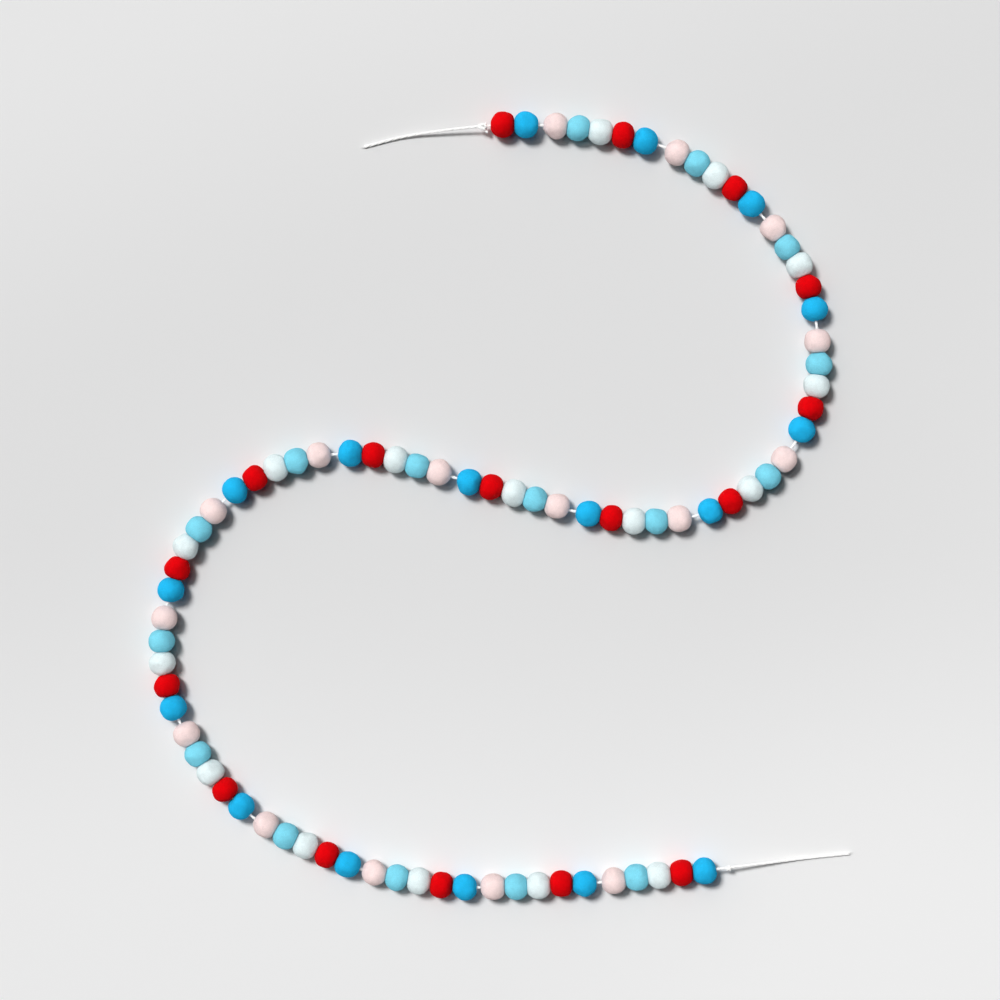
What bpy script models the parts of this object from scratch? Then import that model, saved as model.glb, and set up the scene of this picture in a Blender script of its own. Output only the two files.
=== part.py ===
"""A garland of felt balls on one string, lying in a loose curve on a table.

Runs of five balls, pink, aqua, white, red and blue, sit pushed together on the string, and a short bare
stretch of string parts each run from the next. The garland begins with a run of two, and both ends of
the string lie free. The balls of a run press into each other, so each run is one solid. The string is
one solid too: it passes through a tunnel in every ball and has a stopper knot near each end.

The table is the plane z = 0. The origin is on it, under the middle of the box around all the balls.
"""

import math
import random

import bmesh
import bpy
import numpy as np
from mathutils import Matrix, Vector

MM = 0.001

# Driving sizes, in millimetres
STRING_HEIGHT = 9.8  # from the table to the string inside the balls, a little under a ball's radius
STRING_DIAMETER = 2.2
TUNNEL_CLEARANCE = 0.3  # all round the string, inside the balls
HALF_RUN = 49.0  # from the middle of a run of five balls to the middle of the bare stretch beside it

# The balls of a run in their order along the string. "from_middle" is measured along the string from the
# run's middle to the ball's, "length" along the string and "width" across it, in millimetres.
BALLS = [
    {"colour": "pink", "from_middle": -36.4, "length": 20.6, "width": 20.6},
    {"colour": "aqua", "from_middle": -18.0, "length": 20.2, "width": 20.7},
    {"colour": "white", "from_middle": -0.4, "length": 20.2, "width": 21.2},
    {"colour": "red", "from_middle": 18.1, "length": 20.4, "width": 20.8},
    {"colour": "blue", "from_middle": 36.5, "length": 20.4, "width": 21.0},
]
FIRST_RUN_COLOURS = ("red", "blue")

# How much the hand-rolled balls differ
UNEVEN_SEED = 1306
UNEVEN_SIZE = 0.02  # largest change of a ball's length and width, as a share
UNEVEN_SIDE = 0.8  # furthest that a ball's middle lies beside the string, in millimetres

# Linear colours, read by eye
COLOURS = {
    "pink": (0.89, 0.72, 0.71),
    "aqua": (0.21, 0.67, 0.82),
    "white": (0.80, 0.88, 0.89),
    "red": (0.68, 0.002, 0.004),
    "blue": (0.02, 0.42, 0.78),
}
STRING_COLOUR = (0.88, 0.88, 0.87)
FELT_ROUGHNESS = 0.95
STRING_ROUGHNESS = 0.85

# The string's route, as x, y and height in millimetres. A tail leaves its ball at the string's height and
# comes down to lie on the table. Between the tails the points are, in turn, the middle of a bare stretch
# and the middle of a run.
FIRST_TAIL = [
    (-101.4, 288.6, 1.2),
    (-70.0, 296.6, 2.0),
    (-39.5, 300.8, 5.6),
    (-6.7, 303.8, 9.3),
]
BARE_STRETCHES_AND_RUNS = [
    (41.0, 304.6),
    (88.3, 299.3),
    (136.8, 287.9),
    (180.6, 264.4),
    (217.7, 231.6),
    (247.0, 192.0),
    (260.9, 144.8),
    (260.4, 95.7),
    (242.6, 48.9),
    (207.7, 13.1),
    (163.4, -8.1),
    (114.5, -11.8),
    (65.6, -3.9),
    (18.2, 9.9),
    (-29.2, 22.9),
    (-76.0, 37.3),
    (-124.8, 41.3),
    (-172.3, 30.6),
    (-212.9, 4.4),
    (-243.4, -33.0),
    (-258.3, -78.5),
    (-262.5, -126.1),
    (-248.8, -172.2),
    (-223.4, -213.0),
    (-190.2, -248.7),
    (-147.2, -271.3),
    (-103.5, -290.4),
    (-57.0, -300.6),
    (-9.2, -305.1),
    (38.6, -302.9),
    (87.0, -301.1),
    (134.9, -295.2),
]
LAST_TAIL = [
    (186.3, -289.9, 9.5),
    (215.3, -286.9, 6.0),
    (247.3, -283.5, 2.0),
    (288.4, -279.3, 1.2),
]

# The stopper knots: how far each lies from the middle of the end ball, in millimetres, and its turns
FIRST_KNOT = {"from_ball": 15.2, "turns": 3}
LAST_KNOT = {"from_ball": 19.5, "turns": 2}
KNOT_TURN_RADIUS = 1.5  # from the string's middle to the middle of a turn
KNOT_TURN_THICKNESS = 2.0
KNOT_TURN_SPACING = 1.8
KNOT_TURN_TILT = math.radians(18)

# How finely the round forms are cut
BALL_SEGMENTS = 10  # around the string, even but not a multiple of four: a ball's lowest face is level
BALL_RINGS = 7  # along the string, an odd number for the same reason
KNOT_SEGMENTS = 9
KNOT_SIDES = 6
TUBE_RESOLUTION = 2  # eight sides
TAIL_STEP = 10.0  # millimetres between the string's points where it lies free
RUN_STEP = 26.5  # millimetres between them where it passes through the balls
ROUTE_SAMPLES = 24  # in each span of the route, to measure along it
SHARP_ANGLE = math.radians(60)
WELD_DISTANCE = 0.01 * MM


class Route:
    """A smooth curve through the route's own points, measured along its length in millimetres."""

    def __init__(self, points):
        points = np.array(points, float)
        spans = np.linalg.norm(np.diff(points, axis=0), axis=1)
        knots = np.concatenate([[0.0], np.cumsum(spans)])
        slopes = np.gradient(points, knots, axis=0)
        t = np.linspace(0, 1, ROUTE_SAMPLES, endpoint=False)[:, None]
        pieces = []
        for i, span in enumerate(spans):
            pieces.append(
                (2 * t**3 - 3 * t**2 + 1) * points[i]
                + (t**3 - 2 * t**2 + t) * span * slopes[i]
                + (3 * t**2 - 2 * t**3) * points[i + 1]
                + (t**3 - t**2) * span * slopes[i + 1]
            )
        pieces.append(points[-1:])
        self.line = np.concatenate(pieces)
        steps = np.linalg.norm(np.diff(self.line, axis=0), axis=1)
        self.along = np.concatenate([[0.0], np.cumsum(steps)])
        self.length = self.along[-1]

    def distance_of(self, index):
        """How far along the route its own point of that index lies."""
        return self.along[index * ROUTE_SAMPLES]

    def point(self, distance):
        return Vector([np.interp(distance, self.along, axis) for axis in self.line.T])

    def level_direction(self, distance):
        direction = self.point(distance + 1) - self.point(distance - 1)
        direction.z = 0
        return direction.normalized()


def clear_scene():
    for obj in list(bpy.data.objects):
        bpy.data.objects.remove(obj)


def new_collection(name):
    collection = bpy.data.collections.new(name)
    bpy.context.scene.collection.children.link(collection)
    return collection


def new_material(name, colour, roughness):
    material = bpy.data.materials.new(name)
    material.use_nodes = True
    shader = material.node_tree.nodes["Principled BSDF"]
    shader.inputs["Base Color"].default_value = (*colour, 1.0)
    shader.inputs["Roughness"].default_value = roughness
    shader.inputs["Metallic"].default_value = 0.0
    material.diffuse_color = (*colour, 1.0)
    return material


def make_helper(obj):
    """Keeps a cutter, or a ball or turn that is joined to another solid, out of renders."""
    obj.hide_render = True
    obj.display_type = "WIRE"


def new_object(name, mesh, material, collection):
    obj = bpy.data.objects.new(name, mesh)
    collection.objects.link(obj)
    if material:
        mesh.materials.append(material)
    return obj


def add_boolean(obj, other, operation, keep_materials=False):
    modifier = obj.modifiers.new(f"{operation.lower()} {other.name}", "BOOLEAN")
    modifier.operation = operation
    modifier.object = other
    modifier.material_mode = "TRANSFER" if keep_materials else "INDEX"


def across_string(place, direction):
    """Turns a form's own Z to the string's direction and its X upwards, and moves it to its place."""
    up = Vector((0, 0, 1))
    side = direction.cross(up)
    turn = Matrix((up, side, direction)).transposed().to_4x4()
    return Matrix.Translation(place) @ turn


def ball_mesh(name, length, width):
    """A ball with its poles on the string, a level face above and below, and its full width at its edges."""
    edge_reach = math.cos(math.pi / BALL_RINGS / 2)
    face_reach = edge_reach * math.cos(math.pi / BALL_SEGMENTS)
    radii = Vector((STRING_HEIGHT / face_reach, width / 2 / edge_reach, length / 2)) * MM
    bm = bmesh.new()
    bmesh.ops.create_uvsphere(bm, u_segments=BALL_SEGMENTS, v_segments=BALL_RINGS, radius=1)
    bmesh.ops.scale(bm, verts=bm.verts, vec=radii)
    mesh = bpy.data.meshes.new(name)
    bm.to_mesh(mesh)
    bm.free()
    mesh.shade_smooth()
    return mesh


def add_ball(name, row, middle, route, unevenness, material, collection):
    """One ball of a run whose middle is that far along the route."""
    distance = middle + row["from_middle"]
    direction = route.level_direction(distance)
    length = row["length"] * (1 + UNEVEN_SIZE * unevenness.uniform(-1, 1))
    width = row["width"] * (1 + UNEVEN_SIZE * unevenness.uniform(-1, 1))
    place = route.point(distance)
    place += direction.cross(Vector((0, 0, 1))) * UNEVEN_SIDE * unevenness.uniform(-1, 1)
    place.z = STRING_HEIGHT
    ball = new_object(name, ball_mesh(name, length, width), material, collection)
    ball.matrix_world = across_string(place * MM, direction)
    return ball


def add_run(name, middle, rows, route, unevenness, materials, tunnel, parts, helpers):
    """A run of balls: the first one, joined with the others and cut by the string's tunnel."""
    first, *others = rows
    run = add_ball(name, first, middle, route, unevenness, materials[first["colour"]], parts)
    for row in others:
        ball_name = f"{name}_{row['colour']}"
        ball = add_ball(ball_name, row, middle, route, unevenness, materials[row["colour"]], helpers)
        make_helper(ball)
        add_boolean(run, ball, "UNION", keep_materials=True)
    add_boolean(run, tunnel, "DIFFERENCE")


def run_middles(route):
    """How far along the route the middle of each run of balls lies. The first run, of two balls, lies as the
    end of a run of five would."""
    first_index = len(FIRST_TAIL)
    end_index = first_index + len(BARE_STRETCHES_AND_RUNS)
    others = [route.distance_of(index) for index in range(first_index + 1, end_index, 2)]
    return [route.distance_of(first_index) - HALF_RUN, *others]


def string_points(route, first_ball, last_ball):
    """Points along the route: close together on the free tails, further apart inside the balls."""
    points = [route.point(0)]
    stretches = (
        (0.0, first_ball, TAIL_STEP),
        (first_ball, last_ball, RUN_STEP),
        (last_ball, route.length, TAIL_STEP),
    )
    for start, end, step in stretches:
        count = round((end - start) / step)
        points += [route.point(start + (end - start) * i / count) for i in range(1, count + 1)]
    return points


def tube_mesh(name, points, diameter):
    """A round tube through the points, closed at both ends."""
    curve = bpy.data.curves.new(name, "CURVE")
    curve.dimensions = "3D"
    curve.bevel_depth = diameter / 2 * MM
    curve.bevel_resolution = TUBE_RESOLUTION
    curve.use_fill_caps = True
    spline = curve.splines.new("POLY")
    spline.points.add(len(points) - 1)
    for spline_point, point in zip(spline.points, points):
        spline_point.co = (*(point * MM), 1.0)
    guide = bpy.data.objects.new(name, curve)
    bpy.context.scene.collection.objects.link(guide)
    graph = bpy.context.evaluated_depsgraph_get()
    mesh = bpy.data.meshes.new_from_object(guide.evaluated_get(graph))
    mesh.name = name
    bpy.data.objects.remove(guide)
    bpy.data.curves.remove(curve)
    bm = bmesh.new()
    bm.from_mesh(mesh)
    bmesh.ops.remove_doubles(bm, verts=bm.verts, dist=WELD_DISTANCE)
    bmesh.ops.recalc_face_normals(bm, faces=bm.faces)
    bm.to_mesh(mesh)
    bm.free()
    mesh.shade_smooth()
    mesh.set_sharp_from_angle(angle=SHARP_ANGLE)
    return mesh


def add_knot(name, middle, turns, route, string, helpers):
    """Turns of the string around itself, tilted this way and that, and joined to it."""
    for turn in range(turns):
        distance = middle + (turn - (turns - 1) / 2) * KNOT_TURN_SPACING
        tilt = KNOT_TURN_TILT if turn % 2 else -KNOT_TURN_TILT
        bpy.ops.mesh.primitive_torus_add(
            major_segments=KNOT_SEGMENTS,
            minor_segments=KNOT_SIDES,
            major_radius=KNOT_TURN_RADIUS * MM,
            minor_radius=KNOT_TURN_THICKNESS / 2 * MM,
        )
        ring = bpy.context.object
        ring.name = f"{name}_turn_{turn}"
        for collection in list(ring.users_collection):
            collection.objects.unlink(ring)
        helpers.objects.link(ring)
        make_helper(ring)
        lying = across_string(route.point(distance) * MM, route.level_direction(distance))
        ring.matrix_world = lying @ Matrix.Rotation(tilt, 4, "Y")
        add_boolean(string, ring, "UNION")


def main():
    clear_scene()
    parts = new_collection("felt_ball_garland")
    helpers = new_collection("joined_forms_and_cutters")
    felts = {colour: new_material(f"felt_{colour}", COLOURS[colour], FELT_ROUGHNESS) for colour in COLOURS}
    string_material = new_material("string_white", STRING_COLOUR, STRING_ROUGHNESS)

    level_points = [(x, y, STRING_HEIGHT) for x, y in BARE_STRETCHES_AND_RUNS]
    route = Route(FIRST_TAIL + level_points + LAST_TAIL)
    middles = run_middles(route)
    first_rows = [row for row in BALLS if row["colour"] in FIRST_RUN_COLOURS]
    first_ball = middles[0] + first_rows[0]["from_middle"]
    last_ball = middles[-1] + BALLS[-1]["from_middle"]
    points = string_points(route, first_ball, last_ball)

    tunnel_mesh = tube_mesh("tunnel", points, STRING_DIAMETER + 2 * TUNNEL_CLEARANCE)
    tunnel = new_object("tunnel", tunnel_mesh, None, helpers)
    make_helper(tunnel)
    unevenness = random.Random(UNEVEN_SEED)
    for number, middle in enumerate(middles):
        rows = BALLS if number else first_rows
        name = f"ball_run_{number:02d}"
        add_run(name, middle, rows, route, unevenness, felts, tunnel, parts, helpers)

    string = new_object("string", tube_mesh("string", points, STRING_DIAMETER), string_material, parts)
    first_knot = first_ball - FIRST_KNOT["from_ball"]
    last_knot = last_ball + LAST_KNOT["from_ball"]
    add_knot("first_knot", first_knot, FIRST_KNOT["turns"], route, string, helpers)
    add_knot("last_knot", last_knot, LAST_KNOT["turns"], route, string, helpers)


main()
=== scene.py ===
"""The looks of a garland of felt balls on one string, lying in a loose curve.

Sizes are in metres unless a name says otherwise. The table is the plane z = 0, and the origin is on it,
under the middle of the box around all the balls.
"""

import math
import random

import bmesh
import bpy
import numpy as np
from mathutils import Matrix, Vector, noise


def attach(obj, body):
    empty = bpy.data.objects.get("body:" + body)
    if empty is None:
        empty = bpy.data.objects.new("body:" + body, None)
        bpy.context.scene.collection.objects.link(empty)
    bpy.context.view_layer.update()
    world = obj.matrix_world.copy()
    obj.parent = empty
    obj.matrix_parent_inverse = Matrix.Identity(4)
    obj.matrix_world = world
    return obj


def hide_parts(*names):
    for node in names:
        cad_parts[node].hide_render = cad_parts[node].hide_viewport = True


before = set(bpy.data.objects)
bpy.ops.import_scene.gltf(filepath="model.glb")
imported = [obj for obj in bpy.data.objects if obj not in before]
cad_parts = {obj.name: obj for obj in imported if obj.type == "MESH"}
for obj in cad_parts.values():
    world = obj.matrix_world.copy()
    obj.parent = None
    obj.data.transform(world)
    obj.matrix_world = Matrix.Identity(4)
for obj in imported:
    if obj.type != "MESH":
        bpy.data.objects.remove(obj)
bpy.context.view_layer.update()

UP = np.array((0.0, 0.0, 1.0))

# The string and the balls on it, as in the solids
STRING_HEIGHT = 0.0098
STRING_DIAMETER = 0.0022
HALF_RUN = 0.049  # from the middle of a run of five balls to the middle of the bare stretch beside it
ROUTE_SAMPLES = 24  # in each span of the route, to measure along it
DIRECTION_STEP = 0.001  # to both sides of a place, to find the route's direction there
UNEVEN_SEED = 1306
UNEVEN_SIZE = 0.02  # largest change of a ball's length and width, as a share
UNEVEN_SIDE = 0.0008  # furthest that a ball's middle lies beside the string
FIRST_RUN_COLOURS = ("red", "blue")

# The balls of a run in their order along the string: where each one's middle lies from the run's, its
# length along the string and width across it, and how it presses on the next ball. "keeps_round" is 1
# where this ball stays round and dents the next one, 0 where they meet flat, and -1 the other way about.
BALLS = [
    {"colour": "pink", "from_middle": -0.0364, "length": 0.0206, "width": 0.0206, "keeps_round": 0.2},
    {"colour": "aqua", "from_middle": -0.0180, "length": 0.0202, "width": 0.0207, "keeps_round": 0.1},
    {"colour": "white", "from_middle": -0.0004, "length": 0.0202, "width": 0.0212, "keeps_round": -0.6},
    {"colour": "red", "from_middle": 0.0181, "length": 0.0204, "width": 0.0208, "keeps_round": 0.5},
    {"colour": "blue", "from_middle": 0.0365, "length": 0.0204, "width": 0.0210, "keeps_round": 0.0},
]

# The string's route: a tail at each end, and between them, in turn, the middle of a bare stretch and the
# middle of a run, at the string's height
FIRST_TAIL = [
    (-0.1014, 0.2886, 0.0012),
    (-0.0700, 0.2966, 0.0020),
    (-0.0395, 0.3008, 0.0056),
    (-0.0067, 0.3038, 0.0093),
]
BARE_STRETCHES_AND_RUNS = [
    (0.0410, 0.3046),
    (0.0883, 0.2993),
    (0.1368, 0.2879),
    (0.1806, 0.2644),
    (0.2177, 0.2316),
    (0.2470, 0.1920),
    (0.2609, 0.1448),
    (0.2604, 0.0957),
    (0.2426, 0.0489),
    (0.2077, 0.0131),
    (0.1634, -0.0081),
    (0.1145, -0.0118),
    (0.0656, -0.0039),
    (0.0182, 0.0099),
    (-0.0292, 0.0229),
    (-0.0760, 0.0373),
    (-0.1248, 0.0413),
    (-0.1723, 0.0306),
    (-0.2129, 0.0044),
    (-0.2434, -0.0330),
    (-0.2583, -0.0785),
    (-0.2625, -0.1261),
    (-0.2488, -0.1722),
    (-0.2234, -0.2130),
    (-0.1902, -0.2487),
    (-0.1472, -0.2713),
    (-0.1035, -0.2904),
    (-0.0570, -0.3006),
    (-0.0092, -0.3051),
    (0.0386, -0.3029),
    (0.0870, -0.3011),
    (0.1349, -0.2952),
]
LAST_TAIL = [
    (0.1863, -0.2899, 0.0095),
    (0.2153, -0.2869, 0.0060),
    (0.2473, -0.2835, 0.0020),
    (0.2884, -0.2793, 0.0012),
]

# The balls' finer form
BALL_RINGS = 48  # from one end of the tunnel to the other, over the outside
BALL_SIDES = 76  # around the string
TUNNEL_RADIUS = 0.00135
TUNNEL_RINGS = 3  # inside the tunnel, between its two mouths
DIMPLE_DEPTH = 0.0007  # where the string goes in
DIMPLE_RADIUS = 0.0017
BOXINESS = (0.91, 0.98)  # 1 is an ellipsoid, less is fuller at the shoulders
FULLNESS = 1.025  # a ball's width before its flat spots are pressed in, as a share of the solid's
CONTACT_SOFTNESS = 0.00022  # how gently a face that presses on the next ball turns into the round side
CONTACT_GAP = 0.00003  # from such a face to the middle between the two
REST_SOFTNESS = 0.00010  # how gently the face that the ball lies on turns into the round side
FLAT_SPOTS = (2, 4)  # on a ball, the fewest and the most
FLAT_REACH = (0.950, 0.985)  # a flat spot's distance from the middle, as a share of the radius
FLAT_SOFTNESS = 0.0010
LUMPS = [  # of rolling by hand, then of the matted wool: "size" across a lump, "height" up and down
    {"size": 0.0120, "height": 0.00022},
    {"size": 0.0050, "height": 0.00011},
    {"size": 0.0019, "height": 0.00006},
]
LUMP_NOISE_PEAK = 0.5  # the noise mostly stays within this of 0
BALL_SHAPE_SEED = 23

# The string's strands
TWIST_PITCH = 0.0125  # along the string, for a whole turn of its two strands
STRAND_OUTWARD = 0.00058  # a strand's half thickness, away from the string's middle
STRAND_SIDEWAYS = 0.00082  # and its half width, where it presses on the other strand
STRAND_OFFSET = 0.00052  # from the string's middle to a strand's
STRAND_RIDGES = 6  # round a strand, of its finer yarns, which turn the other way
RIDGE_HEIGHT = 0.11  # as a share of the strand's radius
RIDGE_PITCH = 0.0046  # from one ridge to the next, along the string
STRAND_SIDES = 24
FINE_STEP = 0.0004  # between the rings of the string where it shows
HIDDEN_STEP = 0.0020  # and inside the balls
HIDDEN_REACH = 0.0060  # how far to each side of a ball's middle the string is surely inside it
TAIL_START = 0.0015  # how far inside its ball a tail begins

# The stopper knots. Each is an overhand knot, whose strand goes twice round the string while it swings three
# times along it, nearer the ball and further off, and then sticks out as a short end. "from_ball" is from the
# ball's middle to the knot's, and "beside" is where the knot's middle lies from the string's. "radius" is
# from there to the middle of the swing, which reaches "swing" in and out, and "to_ball" and "away" along the
# string. "flare" is how much wider the knot gets towards its ball, "end" is where the short end's tip lies
# from its root, and "strand" is the knot's strand as a share of the string's size.
FIRST_KNOT = {
    "from_ball": 0.0152,
    "beside": (0.0, 0.0, 0.0),
    "radius": 0.00160,
    "swing": 0.00070,
    "to_ball": 0.0017,
    "away": 0.0042,
    "flare": 0.40,
    "end": (0.0030, -0.0040, -0.0016),
    "strand": 0.88,
}
LAST_KNOT = {
    "from_ball": 0.0195,
    "beside": (0.0, -0.0006, 0.0),
    "radius": 0.00115,
    "swing": 0.00050,
    "to_ball": 0.0014,
    "away": 0.0014,
    "flare": 0.0,
    "end": (0.0010, -0.0030, -0.0014),
    "strand": 0.72,
}
KNOT_ROUNDS = 2
KNOT_SWINGS = 3
KNOT_STEPS = 180
KNOT_END_STEP = 0.0003
KNOT_END_CURL = 1.5  # 1 turns at once towards the end's tip, more turns later

# The loose fibres at the string's cut ends
END_FIBRES = 16
END_FIBRE_LENGTH = (0.0015, 0.0040)
END_FIBRE_RADIUS = 0.00007
END_FIBRE_ROOT = 0.0006  # how far inside the cut end they start
END_FIBRE_PLACES = 0.28  # how far from the string's middle they start, as a share of its diameter
END_FIBRE_SPREAD = 0.35  # how far a tip leans to the side, as a share of the fibre's length
END_FIBRE_TAPER = 0.8
END_FIBRE_STEPS = 6
END_FIBRE_SIDES = 4
END_FIBRE_SEED = 24

# The felt's surface: broad patches, matted wool, and layers of fibres that cross and curve. Shades are the
# darkest and the lightest, as shares of the felt's colour.
NOISE_LOW = 0.3  # the materials' noise mostly stays above this
NOISE_MIDDLE = 0.5
NOISE_HIGH = 0.7  # and below this
PATCHES = {"size": 0.006, "detail": 2.0}
PATCH_SHADES = (0.96, 1.04)
MATTING = {"size": 0.0013, "detail": 4.0, "roughness": 0.65, "distortion": 1.6}
MATTING_SHADES = (0.90, 1.06)
MATTING_HEIGHT = 1.5  # where a fibre's is 1
FIBRE_TURNS = [(0.4, 0.2, 0.9), (1.5, 0.8, 2.1), (0.9, 2.0, 0.3), (2.4, 1.1, 1.4)]
FIBRE_LENGTH = 0.0040
FIBRE_THICKNESS = 0.00034
FIBRE_BEND = 0.0050
FIBRE_WIDTH = 0.05  # how far from the noise's middle value a fibre ends
FIBRE_SHADES = (0.93, 1.10)
FELT_RELIEF = {"strength": 0.7, "distance": 0.00013}
FELT_SURFACE = {
    "Roughness": 0.95,
    "Specular IOR Level": 0.06,
    "Sheen Weight": 0.03,
    "Sheen Roughness": 0.5,
}

# The string's surface: fine fibres, and faint patches
YARN_FIBRES = {"size": 0.0005, "detail": 4.0, "roughness": 0.7, "distortion": 1.5}
YARN_FIBRE_SHADES = (0.93, 1.05)
YARN_PATCHES = {"size": 0.004, "detail": 1.0}
YARN_PATCH_SHADES = (0.98, 1.02)
YARN_RELIEF = {"strength": 0.4, "distance": 0.0001}
YARN_SURFACE = {"Roughness": 0.85, "Specular IOR Level": 0.2, "Sheen Weight": 0.1}

# Colours, linear
COLOURS = {
    "pink": (0.785, 0.62, 0.605),
    "aqua": (0.178, 0.575, 0.715),
    "white": (0.67, 0.765, 0.775),
    "red": (0.72, 0.0005, 0.003),
    "blue": (0.016, 0.465, 0.83),
}
STRING_COLOUR = (0.79, 0.79, 0.78)

# The floor. Painted light: its colour gets smoothly lighter towards three sides, standing in for brighter
# light there. "from" and "to" are where that starts and ends, as a place's dot product with "towards".
FLOOR_SIZE = 60.0
FLOOR_TONE = 0.86
FLOOR_PAINTED_LIGHT = [
    {"towards": (-0.35, 1.0), "from": 0.20, "to": 0.52, "by": 0.07},
    {"towards": (0.0, -1.0), "from": 0.0, "to": 0.32, "by": 0.10},
    {"towards": (1.0, -0.6), "from": 0.20, "to": 0.50, "by": 0.035},
]
FLOOR_SURFACE = {"Roughness": 0.9, "Specular IOR Level": 0.0}
BACKDROP_COLOUR = (0.80, 0.80, 0.80)  # past the floor's edge, as far as the camera sees

# The camera looks straight down. Its picture is this wide at the string's height.
VIEW_MIDDLE = (0.0077, 0.0048)
VIEW_WIDTH = 0.800
LENS = 85.0
SENSOR = 36.0

# Light. A small lamp and a large one stand together at the upper left of the picture. Two fills, almost
# straight above, reach the garland alone, so the shadows stay deep, and the one on the deep colours is
# weaker, because pale wool lets light through. Angles are in degrees: "azimuth" is from the picture's right
# towards its top, and "spread" is how wide a lamp looks from the table.
LIGHTS = [
    {"name": "key", "azimuth": 135, "elevation": 57, "spread": 15, "strength": 2.35, "on": "all"},
    {"name": "soft", "azimuth": 135, "elevation": 42, "spread": 82, "strength": 1.06, "on": "all"},
    {"name": "fill_pale", "azimuth": -45, "elevation": 80, "spread": 90, "strength": 1.80, "on": "pale"},
    {"name": "fill_deep", "azimuth": -45, "elevation": 80, "spread": 90, "strength": 0.95, "on": "deep"},
]
DEEP_COLOURS = ("red", "blue")


class Route:
    """A smooth curve through the route's own points, measured along its length."""

    def __init__(self, points):
        points = np.array(points, float)
        spans = np.linalg.norm(np.diff(points, axis=0), axis=1)
        knots = np.concatenate([[0.0], np.cumsum(spans)])
        slopes = np.gradient(points, knots, axis=0)
        t = np.linspace(0, 1, ROUTE_SAMPLES, endpoint=False)[:, None]
        pieces = []
        for i, span in enumerate(spans):
            pieces.append(
                (2 * t**3 - 3 * t**2 + 1) * points[i]
                + (t**3 - 2 * t**2 + t) * span * slopes[i]
                + (3 * t**2 - 2 * t**3) * points[i + 1]
                + (t**3 - t**2) * span * slopes[i + 1]
            )
        pieces.append(points[-1:])
        self.line = np.concatenate(pieces)
        steps = np.linalg.norm(np.diff(self.line, axis=0), axis=1)
        self.along = np.concatenate([[0.0], np.cumsum(steps)])
        self.length = self.along[-1]

    def distance_of(self, index):
        return self.along[index * ROUTE_SAMPLES]

    def point(self, distance):
        return Vector([np.interp(distance, self.along, axis) for axis in self.line.T])

    def step_over(self, distance):
        return self.point(distance + DIRECTION_STEP) - self.point(distance - DIRECTION_STEP)

    def direction(self, distance):
        return self.step_over(distance).normalized()

    def level_direction(self, distance):
        step = self.step_over(distance)
        step.z = 0
        return step.normalized()


def make_camera():
    bpy.context.scene.view_settings.view_transform = "Standard"
    data = bpy.data.cameras.new("camera")
    data.lens = LENS
    data.sensor_width = SENSOR
    camera = bpy.data.objects.new("camera", data)
    bpy.context.scene.collection.objects.link(camera)
    height = STRING_HEIGHT + VIEW_WIDTH / 2 * LENS / (SENSOR / 2)
    camera.location = (*VIEW_MIDDLE, height)
    bpy.context.scene.camera = camera


def run_middles(route):
    """How far along the route the middle of each run of balls lies. The first run, of two balls, lies as the
    end of a run of five would."""
    first_index = len(FIRST_TAIL)
    end_index = first_index + len(BARE_STRETCHES_AND_RUNS)
    others = [route.distance_of(index) for index in range(first_index + 1, end_index, 2)]
    return [route.distance_of(first_index) - HALF_RUN, *others]


def place_balls(route):
    """Every ball's place, directions and sizes, run by run."""
    unevenness = random.Random(UNEVEN_SEED)
    runs = []
    for number, middle in enumerate(run_middles(route)):
        rows = BALLS if number else [row for row in BALLS if row["colour"] in FIRST_RUN_COLOURS]
        run = []
        for row in rows:
            distance = middle + row["from_middle"]
            direction = route.level_direction(distance)
            side = direction.cross(Vector(UP))
            length = row["length"] * (1 + UNEVEN_SIZE * unevenness.uniform(-1, 1))
            width = row["width"] * (1 + UNEVEN_SIZE * unevenness.uniform(-1, 1))
            place = route.point(distance) + side * UNEVEN_SIDE * unevenness.uniform(-1, 1)
            place.z = STRING_HEIGHT
            run.append({
                **row,
                "distance": distance,
                "direction": direction,
                "side": side,
                "length": length,
                "width": width,
                "place": place,
            })
        runs.append(run)
    return runs


def soft_limit(values, limit, softness):
    """The values, held below a limit, with a gentle turn where they reach it."""
    return limit - softness * np.logaddexp(0, (limit - values) / softness)


def press_flat(points, normal, reach, softness, curve=0.0):
    """Holds the points within a reach along a normal. A curve above 0 makes the pressed face hollow, and one
    below 0 makes it bulge."""
    along = points @ normal
    across = np.sum(points**2, axis=1) - along**2
    limit = reach + curve * across / 2
    return points + np.outer(soft_limit(along, limit, softness) - along, normal)


def contact(ball, other):
    """The direction, reach and curve of the face where a ball meets its neighbour."""
    apart = np.array(other["place"] - ball["place"])
    distance = np.linalg.norm(apart)
    reach = (ball["length"] / 2 + distance - other["length"] / 2) / 2 - CONTACT_GAP
    after = ball["distance"] < other["distance"]
    keeps_round = ball["keeps_round"] if after else -other["keeps_round"]
    return apart / distance, reach, -keeps_round / (ball["width"] / 2)


def add_lumps(points, shift):
    """Moves the points in and out along their own direction, by smooth noise of several sizes."""
    lumpy = np.empty_like(points)
    for i, point in enumerate(points):
        place = Vector(point)
        outward = place.normalized()
        height = sum(
            lump["height"] * noise.noise((place + shift) / lump["size"]) / LUMP_NOISE_PEAK for lump in LUMPS
        )
        lumpy[i] = place + outward * height
    return lumpy


def add_dimples(points, direction):
    """Draws the felt in round both mouths of the tunnel."""
    along = points @ direction
    from_string = np.linalg.norm(points - np.outer(along, direction), axis=1)
    depth = DIMPLE_DEPTH * np.exp(-((from_string / DIMPLE_RADIUS) ** 2))
    return points - np.outer(np.sign(along) * depth, direction)


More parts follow.
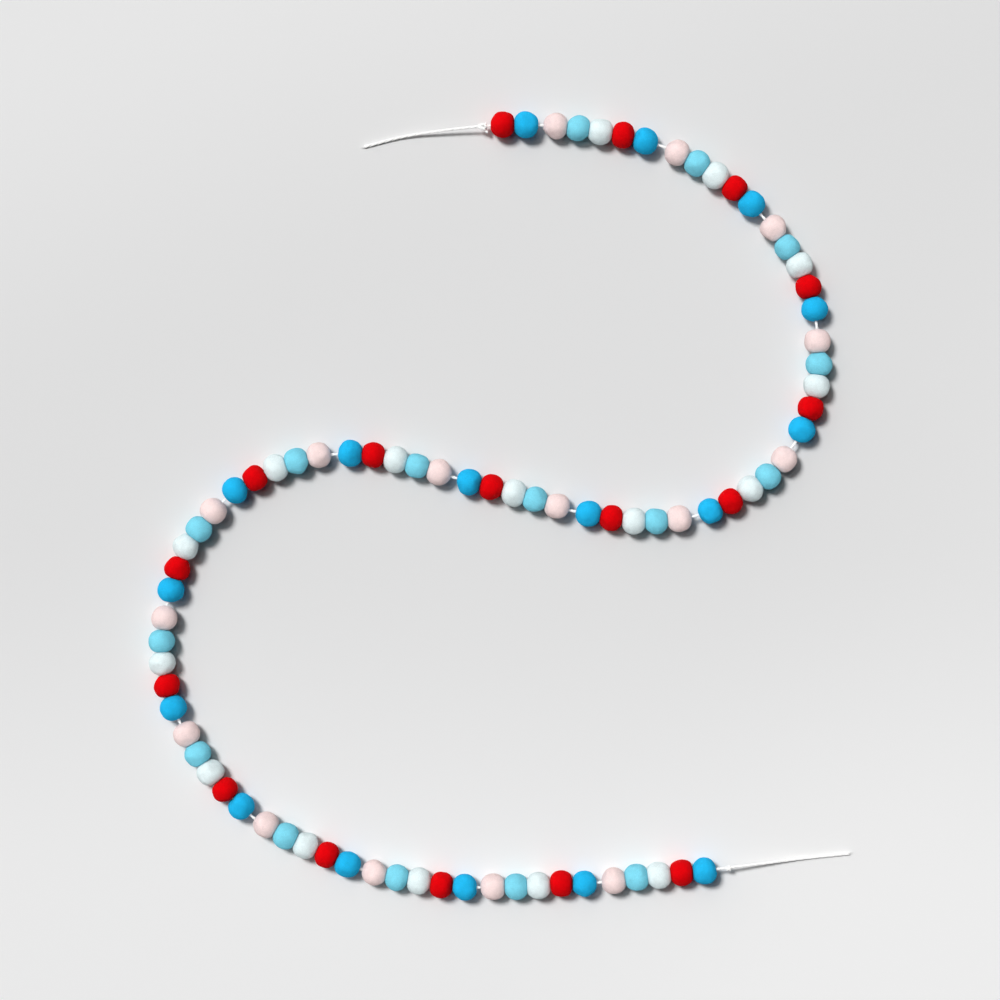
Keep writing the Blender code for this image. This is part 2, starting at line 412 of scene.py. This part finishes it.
def ball_outside(ball, shape):
    """The ball's outer surface as rings of points around the string, from its own middle."""
    boxiness = shape.uniform(*BOXINESS)
    mouth = math.asin(TUNNEL_RADIUS / (ball["width"] / 2))
    around_end = np.linspace(mouth, math.pi - mouth, BALL_RINGS)
    along = -np.sign(np.cos(around_end)) * np.abs(np.cos(around_end)) ** boxiness * ball["length"] / 2
    across = np.sin(around_end) ** boxiness * FULLNESS * ball["width"] / 2
    turns = np.linspace(0, 2 * math.pi, BALL_SIDES, endpoint=False)
    direction = np.array(ball["direction"])
    side = np.array(ball["side"])
    rounds = np.outer(np.cos(turns), UP) + np.outer(np.sin(turns), side)
    return (along[:, None, None] * direction + across[:, None, None] * rounds).reshape(-1, 3)


def ball_mesh(name, ball, neighbours, shape):
    """One ball round its own middle: uneven, pressed by its neighbours and the table, and pierced."""
    points = ball_outside(ball, shape)
    radius = ball["width"] / 2
    for _ in range(shape.randint(*FLAT_SPOTS)):
        normal = np.array([shape.gauss(0, 1) for _ in range(3)])
        normal /= np.linalg.norm(normal)
        points = press_flat(points, normal, radius * shape.uniform(*FLAT_REACH), FLAT_SOFTNESS)
    points = add_lumps(points, Vector([shape.uniform(0, 1) for _ in range(3)]))
    for other in neighbours:
        normal, reach, curve = contact(ball, other)
        points = press_flat(points, normal, reach, CONTACT_SOFTNESS, curve)
    points = press_flat(points, -UP, STRING_HEIGHT, REST_SOFTNESS)
    points = add_dimples(points, np.array(ball["direction"]))

    rings = points.reshape(BALL_RINGS, BALL_SIDES, 3)
    shares = np.linspace(0, 1, TUNNEL_RINGS + 2)[1:-1]
    tunnel = [rings[-1] * (1 - share) + rings[0] * share for share in shares]
    rings = np.concatenate([rings, tunnel])
    return ring_mesh(name, rings, closed=True)


def ring_mesh(name, rings, closed=False):
    """A mesh through rings of points: closed into a loop of rings, or with a cap at each end."""
    bm = bmesh.new()
    made = [[bm.verts.new(point) for point in ring] for ring in rings]
    pairs = list(zip(made, made[1:]))
    if closed:
        pairs.append((made[-1], made[0]))
    for near, far in pairs:
        for i in range(len(near)):
            j = (i + 1) % len(near)
            bm.faces.new((near[i], near[j], far[j], far[i]))
    if not closed:
        bm.faces.new(list(reversed(made[0])))
        bm.faces.new(made[-1])
    bmesh.ops.recalc_face_normals(bm, faces=bm.faces)
    mesh = bpy.data.meshes.new(name)
    bm.to_mesh(mesh)
    bm.free()
    mesh.shade_smooth()
    return mesh


def joined_mesh(name, bodies):
    """One mesh of several bodies, each given by its rings and capped at both ends."""
    bm = bmesh.new()
    for rings in bodies:
        part = ring_mesh(name, rings)
        bm.from_mesh(part)
        bpy.data.meshes.remove(part)
    mesh = bpy.data.meshes.new(name)
    bm.to_mesh(mesh)
    bm.free()
    mesh.shade_smooth()
    return mesh


def add_piece(name, mesh, material, nodes):
    """A mesh as a piece of the garland, in place of the solids that it stands for."""
    piece = bpy.data.objects.new(name, mesh)
    bpy.context.scene.collection.objects.link(piece)
    mesh.materials.append(material)
    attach(piece, "root")
    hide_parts(*nodes)
    return piece


def add_balls(runs, felts):
    shape = random.Random(BALL_SHAPE_SEED)
    for number, run in enumerate(runs):
        for i, ball in enumerate(run):
            colour = ball["colour"]
            name = f"ball_{number:02d}_{colour}"
            neighbours = [run[j] for j in (i - 1, i + 1) if 0 <= j < len(run)]
            mesh = ball_mesh(name, ball, neighbours, shape)
            mesh.transform(Matrix.Translation(ball["place"]))
            add_piece(name, mesh, felts[colour], [f"ball_run_{number:02d}"])


def carried_frames(points):
    """A direction and two cross directions at each point, turning as little as they can."""
    points = np.array(points, float)
    directions = np.gradient(points, axis=0)
    directions /= np.linalg.norm(directions, axis=1)[:, None]
    first = np.cross(directions[0], UP)
    frames = []
    for direction in directions:
        first = first - (first @ direction) * direction
        first /= np.linalg.norm(first)
        frames.append((direction, first, np.cross(direction, first)))
    return points, frames


def strand_rings(points, distances, scale):
    """The rings of the string's two strands, twisted round each other along the points."""
    points, frames = carried_frames(points)
    turns = np.linspace(0, 2 * math.pi, STRAND_SIDES, endpoint=False)
    strands = []
    for start in (0.0, math.pi):
        rings = []
        for point, distance, (_, first, second) in zip(points, distances, frames):
            twist = start + 2 * math.pi * distance / (TWIST_PITCH * scale)
            outward = math.cos(twist) * first + math.sin(twist) * second
            sideways = math.cos(twist) * second - math.sin(twist) * first
            centre = point + STRAND_OFFSET * scale * outward
            ridge = STRAND_RIDGES * (turns + 2 * math.pi * distance / (RIDGE_PITCH * scale * STRAND_RIDGES))
            oval = np.outer(np.cos(turns) * STRAND_OUTWARD, outward)
            oval += np.outer(np.sin(turns) * STRAND_SIDEWAYS, sideways)
            rings.append(centre + scale * (1 + RIDGE_HEIGHT * np.cos(ridge))[:, None] * oval)
        strands.append(rings)
    return strands


def add_string_piece(name, mesh, cotton):
    return add_piece(name, mesh, cotton, ["string"])


def add_strands(name, points, distances, cotton, scale=1.0):
    """Both strands, twisted along the points, as one piece."""
    mesh = joined_mesh(name, strand_rings(points, distances, scale))
    return add_string_piece(name, mesh, cotton)


def add_tail(name, route, start, end, cotton):
    """A free tail, from just inside its ball to its cut end."""
    count = round(abs(end - start) / FINE_STEP)
    distances = np.linspace(start, end, count + 1)
    points = [route.point(distance) for distance in distances]
    return add_strands(name, points, distances, cotton), points


def add_inner_string(route, runs, start, end, cotton):
    """The string from one tail to the other: finely made between the runs, and coarsely inside them."""
    shown = [
        (run[-1]["distance"] + HIDDEN_REACH, after[0]["distance"] - HIDDEN_REACH)
        for run, after in zip(runs, runs[1:])
    ]
    distances = [start]
    while distances[-1] < end:
        here = distances[-1]
        showing = any(near < here < far for near, far in shown)
        distances.append(here + (FINE_STEP if showing else HIDDEN_STEP))
    distances[-1] = end
    points = [route.point(distance) for distance in distances]
    add_strands("string_through_balls", points, distances, cotton)


def step_lengths(points):
    return [(b - a).length for a, b in zip(points, points[1:])]


def knot_points(centre, direction, knot):
    """The path of a knot's strand round the string, and out to its short end. The direction is towards the
    ball."""
    first = direction.cross(Vector(UP)).normalized()
    second = direction.cross(first)
    middle = centre + Vector(knot["beside"])
    points = []
    for i in range(KNOT_STEPS + 1):
        share = i / KNOT_STEPS
        turn = 2 * math.pi * KNOT_ROUNDS * share
        swing = 2 * math.pi * KNOT_SWINGS * share + math.pi
        towards_ball = math.sin(swing)
        along = towards_ball * (knot["to_ball"] if towards_ball > 0 else knot["away"])
        reach = (knot["radius"] + knot["swing"] * math.cos(swing)) * (1 + knot["flare"] * towards_ball)
        outward = first * math.cos(turn) + second * math.sin(turn)
        points.append(middle + direction * along + outward * reach)
    leaving = (points[-1] - points[-2]).normalized()
    root = points[-1].copy()
    end = Vector(knot["end"])
    steps = round(end.length / KNOT_END_STEP)
    for i in range(1, steps + 1):
        share = i / steps
        points.append(root + leaving * (share - share**2) * end.length + end * share**KNOT_END_CURL)
    return points


def add_knot(name, route, distance, knot, to_ball, cotton):
    points = knot_points(route.point(distance), route.direction(distance) * to_ball, knot)
    walked = np.concatenate([[0.0], np.cumsum(step_lengths(points))])
    return add_strands(name, points, walked, cotton, knot["strand"])


def fibre_rings(start, direction, length, spread):
    """The rings of one fibre, which leans to the side more and more, and doesn't go below the table."""
    path = []
    for i in range(END_FIBRE_STEPS + 1):
        share = i / END_FIBRE_STEPS
        point = start + direction * length * share + spread * length * share**2
        point.z = max(point.z, END_FIBRE_RADIUS)
        path.append(point)
    points, frames = carried_frames(path)
    turns = np.linspace(0, 2 * math.pi, END_FIBRE_SIDES, endpoint=False)
    rings = []
    for i, (point, (_, first, second)) in enumerate(zip(points, frames)):
        radius = END_FIBRE_RADIUS * (1 - END_FIBRE_TAPER * i / END_FIBRE_STEPS)
        rings.append(point + radius * (np.outer(np.cos(turns), first) + np.outer(np.sin(turns), second)))
    return rings


def add_end_fibres(name, route, distance, outward, loose, cotton):
    """Fine fibres that fan out of the string's cut end."""
    direction = route.direction(distance) * outward
    root = route.point(distance) - direction * END_FIBRE_ROOT
    fibres = []
    for _ in range(END_FIBRES):
        length = loose.uniform(*END_FIBRE_LENGTH)
        spread = Vector([loose.uniform(-1, 1) for _ in range(3)]) * END_FIBRE_SPREAD
        beside = Vector([loose.uniform(-1, 1) for _ in range(3)]) * STRING_DIAMETER * END_FIBRE_PLACES
        fibres.append(fibre_rings(root + beside, direction, length, spread))
    return add_string_piece(name, joined_mesh(name, fibres), cotton)


def add_free_end(end, ball, tip, knot, route, loose, cotton):
    """The string past the first or the last ball: its tail, its knot, and the fibres at its tip. Returns
    where along the route the tail starts, inside the ball."""
    to_ball = 1 if ball["distance"] > tip else -1
    start = ball["distance"] - to_ball * ball["length"] / 2 + to_ball * TAIL_START
    tail, path = add_tail(f"string_{end}_tail", route, start, tip, cotton)
    knot_place = ball["distance"] - to_ball * knot["from_ball"]
    knot_piece = add_knot(f"knot_{end}", route, knot_place, knot, to_ball, cotton)
    fibres = add_end_fibres(f"fibres_{end}_end", route, tip, -to_ball, loose, cotton)
    return start


def add_string(route, runs, cotton):
    loose = random.Random(END_FIBRE_SEED)
    first_start = add_free_end("first", runs[0][0], 0.0, FIRST_KNOT, route, loose, cotton)
    last_start = add_free_end("last", runs[-1][-1], route.length, LAST_KNOT, route, loose, cotton)
    add_inner_string(route, runs, first_start, last_start, cotton)


class Nodes:
    """A material's nodes, made and linked by name."""

    def __init__(self, name):
        self.material = bpy.data.materials.new(name)
        self.material.use_nodes = True
        self.tree = self.material.node_tree
        self.shader = self.tree.nodes["Principled BSDF"]

    def add(self, kind, **settings):
        node = self.tree.nodes.new(kind)
        for key, value in settings.items():
            setattr(node, key, value)
        return node

    def link(self, source, target):
        self.tree.links.new(source, target)

    def noise(self, vector, size, detail, roughness=0.5, distortion=0.0):
        """Noise whose lumps are about that size across."""
        node = self.add("ShaderNodeTexNoise")
        node.inputs["Scale"].default_value = 1 / size
        node.inputs["Detail"].default_value = detail
        node.inputs["Roughness"].default_value = roughness
        node.inputs["Distortion"].default_value = distortion
        self.link(vector, node.inputs["Vector"])
        return node.outputs["Fac"]

    def bent(self, place, size, by):
        """The place, moved up to about half as far as "by", so that what lies there curves."""
        node = self.add("ShaderNodeTexNoise")
        node.inputs["Scale"].default_value = 1 / size
        node.inputs["Detail"].default_value = 1.0
        self.link(place, node.inputs["Vector"])
        moved = self.add("ShaderNodeVectorMath", operation="MULTIPLY_ADD")
        moved.inputs[1].default_value = (by, by, by)
        self.link(node.outputs["Color"], moved.inputs[0])
        self.link(place, moved.inputs[2])
        return moved.outputs["Vector"]

    def fibres(self, place, turn, length, thickness):
        """Thin lines that lie one way, at 1, with 0 between them."""
        node = self.add("ShaderNodeMapping", vector_type="TEXTURE")
        node.inputs["Rotation"].default_value = turn
        node.inputs["Scale"].default_value = (length, thickness, thickness)
        self.link(place, node.inputs["Vector"])
        height = self.noise(node.outputs["Vector"], size=1.0, detail=1.0)
        off_middle = self.math("ABSOLUTE", self.math("SUBTRACT", height, NOISE_MIDDLE))
        return self.range(off_middle, 1.0, 0.0, from_low=0.0, from_high=FIBRE_WIDTH)

    def range(self, value, low, high, from_low=NOISE_LOW, from_high=NOISE_HIGH):
        """Maps the value's range, from_low to from_high, to low to high."""
        node = self.add("ShaderNodeMapRange")
        node.inputs["From Min"].default_value = from_low
        node.inputs["From Max"].default_value = from_high
        node.inputs["To Min"].default_value = low
        node.inputs["To Max"].default_value = high
        self.link(value, node.inputs["Value"])
        return node.outputs["Result"]

    def math(self, operation, first, second=0.0):
        node = self.add("ShaderNodeMath", operation=operation)
        for socket, value in zip(node.inputs, (first, second)):
            if isinstance(value, (int, float)):
                socket.default_value = value
            else:
                self.link(value, socket)
        return node.outputs["Value"]

    def shaded(self, colour, shade):
        """A colour, made lighter or darker by a value around 1."""
        node = self.add("ShaderNodeVectorMath", operation="SCALE")
        node.inputs[0].default_value = colour
        self.link(shade, node.inputs["Scale"])
        return node.outputs["Vector"]

    def bump(self, height, strength, distance):
        node = self.add("ShaderNodeBump")
        node.inputs["Strength"].default_value = strength
        node.inputs["Distance"].default_value = distance
        self.link(height, node.inputs["Height"])
        self.link(node.outputs["Normal"], self.shader.inputs["Normal"])

    def surface(self, settings):
        for name, value in settings.items():
            self.shader.inputs[name].default_value = value


def felt_material(colour_name):
    """Matted wool: patchy colour, and long fibres that cross and curve."""
    nodes = Nodes(f"felt_{colour_name}")
    colour = COLOURS[colour_name]
    place = nodes.add("ShaderNodeTexCoord").outputs["Object"]
    curved = nodes.bent(place, FIBRE_BEND, FIBRE_BEND)
    layers = [nodes.fibres(curved, turn, FIBRE_LENGTH, FIBRE_THICKNESS) for turn in FIBRE_TURNS]
    crossing = layers[0]
    for layer in layers[1:]:
        crossing = nodes.math("MAXIMUM", crossing, layer)
    patches = nodes.noise(place, **PATCHES)
    matted = nodes.noise(place, **MATTING)
    patch_shade = nodes.range(patches, *PATCH_SHADES)
    shade = nodes.math("MULTIPLY", patch_shade, nodes.range(matted, *MATTING_SHADES))
    fibre_shade = nodes.range(crossing, *FIBRE_SHADES, from_low=0.0, from_high=1.0)
    shade = nodes.math("MULTIPLY", shade, fibre_shade)
    nodes.link(nodes.shaded(colour, shade), nodes.shader.inputs["Base Color"])
    nodes.surface({**FELT_SURFACE, "Sheen Tint": (*colour, 1.0)})
    relief = nodes.math("ADD", nodes.math("MULTIPLY", matted, MATTING_HEIGHT), crossing)
    nodes.bump(relief, **FELT_RELIEF)
    return nodes.material


def cotton_material():
    """Twisted cotton yarn, with fine fibres."""
    nodes = Nodes("string_white")
    place = nodes.add("ShaderNodeTexCoord").outputs["Object"]
    fibres = nodes.noise(place, **YARN_FIBRES)
    patches = nodes.noise(place, **YARN_PATCHES)
    fibre_shade = nodes.range(fibres, *YARN_FIBRE_SHADES)
    shade = nodes.math("MULTIPLY", fibre_shade, nodes.range(patches, *YARN_PATCH_SHADES))
    nodes.link(nodes.shaded(STRING_COLOUR, shade), nodes.shader.inputs["Base Color"])
    nodes.surface(YARN_SURFACE)
    nodes.bump(fibres, **YARN_RELIEF)
    return nodes.material


def floor_material():
    """A plain pale surface, with painted light that makes it lighter towards some of its sides."""
    nodes = Nodes("floor")
    place = nodes.add("ShaderNodeTexCoord").outputs["Object"]
    tone_with_painted_light = FLOOR_TONE
    # painted light: each side adds a smooth rise to the floor's colour, standing in for brighter light there
    for side in FLOOR_PAINTED_LIGHT:
        along = nodes.add("ShaderNodeVectorMath", operation="DOT_PRODUCT")
        along.inputs[1].default_value = (*side["towards"], 0.0)
        nodes.link(place, along.inputs[0])
        painted_light = nodes.range(along.outputs["Value"], 0.0, side["by"], side["from"], side["to"])
        painted_light.node.interpolation_type = "SMOOTHSTEP"
        tone_with_painted_light = nodes.math("ADD", painted_light, tone_with_painted_light)
    nodes.link(tone_with_painted_light, nodes.shader.inputs["Base Color"])
    nodes.surface(FLOOR_SURFACE)
    return nodes.material


def make_floor():
    mesh = bpy.data.meshes.new("floor")
    bm = bmesh.new()
    bmesh.ops.create_grid(bm, x_segments=1, y_segments=1, size=FLOOR_SIZE / 2)
    bm.to_mesh(mesh)
    bm.free()
    mesh.materials.append(floor_material())
    floor = bpy.data.objects.new("floor", mesh)
    bpy.context.scene.collection.objects.link(floor)


def add_light(row, receivers):
    data = bpy.data.lights.new(row["name"], "SUN")
    data.energy = row["strength"]
    data.angle = math.radians(row["spread"])
    light = bpy.data.objects.new(row["name"], data)
    bpy.context.scene.collection.objects.link(light)
    azimuth = math.radians(row["azimuth"])
    elevation = math.radians(row["elevation"])
    towards = Vector((
        math.cos(azimuth) * math.cos(elevation),
        math.sin(azimuth) * math.cos(elevation),
        math.sin(elevation),
    ))
    light.rotation_mode = "QUATERNION"
    light.rotation_quaternion = towards.to_track_quat("Z", "Y")
    if row["on"] in receivers:
        light.light_linking.receiver_collection = receivers[row["on"]]


def make_lights(pieces):
    """The lamps. Each fill lights only the pieces in its own collection."""
    receivers = {kind: bpy.data.collections.new(kind) for kind in ("pale", "deep")}
    for piece in pieces:
        kind = "deep" if piece.name.endswith(DEEP_COLOURS) else "pale"
        receivers[kind].objects.link(piece)
    for row in LIGHTS:
        add_light(row, receivers)


def make_backdrop():
    """A pale world that is seen past the floor's edge, and gives no light."""
    world = bpy.data.worlds.new("studio")
    world.use_nodes = True
    background = world.node_tree.nodes["Background"]
    background.inputs["Color"].default_value = (*BACKDROP_COLOUR, 1.0)
    rays = world.node_tree.nodes.new("ShaderNodeLightPath")
    world.node_tree.links.new(rays.outputs["Is Camera Ray"], background.inputs["Strength"])
    bpy.context.scene.world = world


make_camera()
level_points = [(x, y, STRING_HEIGHT) for x, y in BARE_STRETCHES_AND_RUNS]
route = Route(FIRST_TAIL + level_points + LAST_TAIL)
runs = place_balls(route)
felts = {colour: felt_material(colour) for colour in COLOURS}
add_string(route, runs, cotton_material())
add_balls(runs, felts)
pieces = [obj for obj in bpy.data.objects if obj.type == "MESH"]
make_floor()
make_backdrop()
make_lights(pieces)
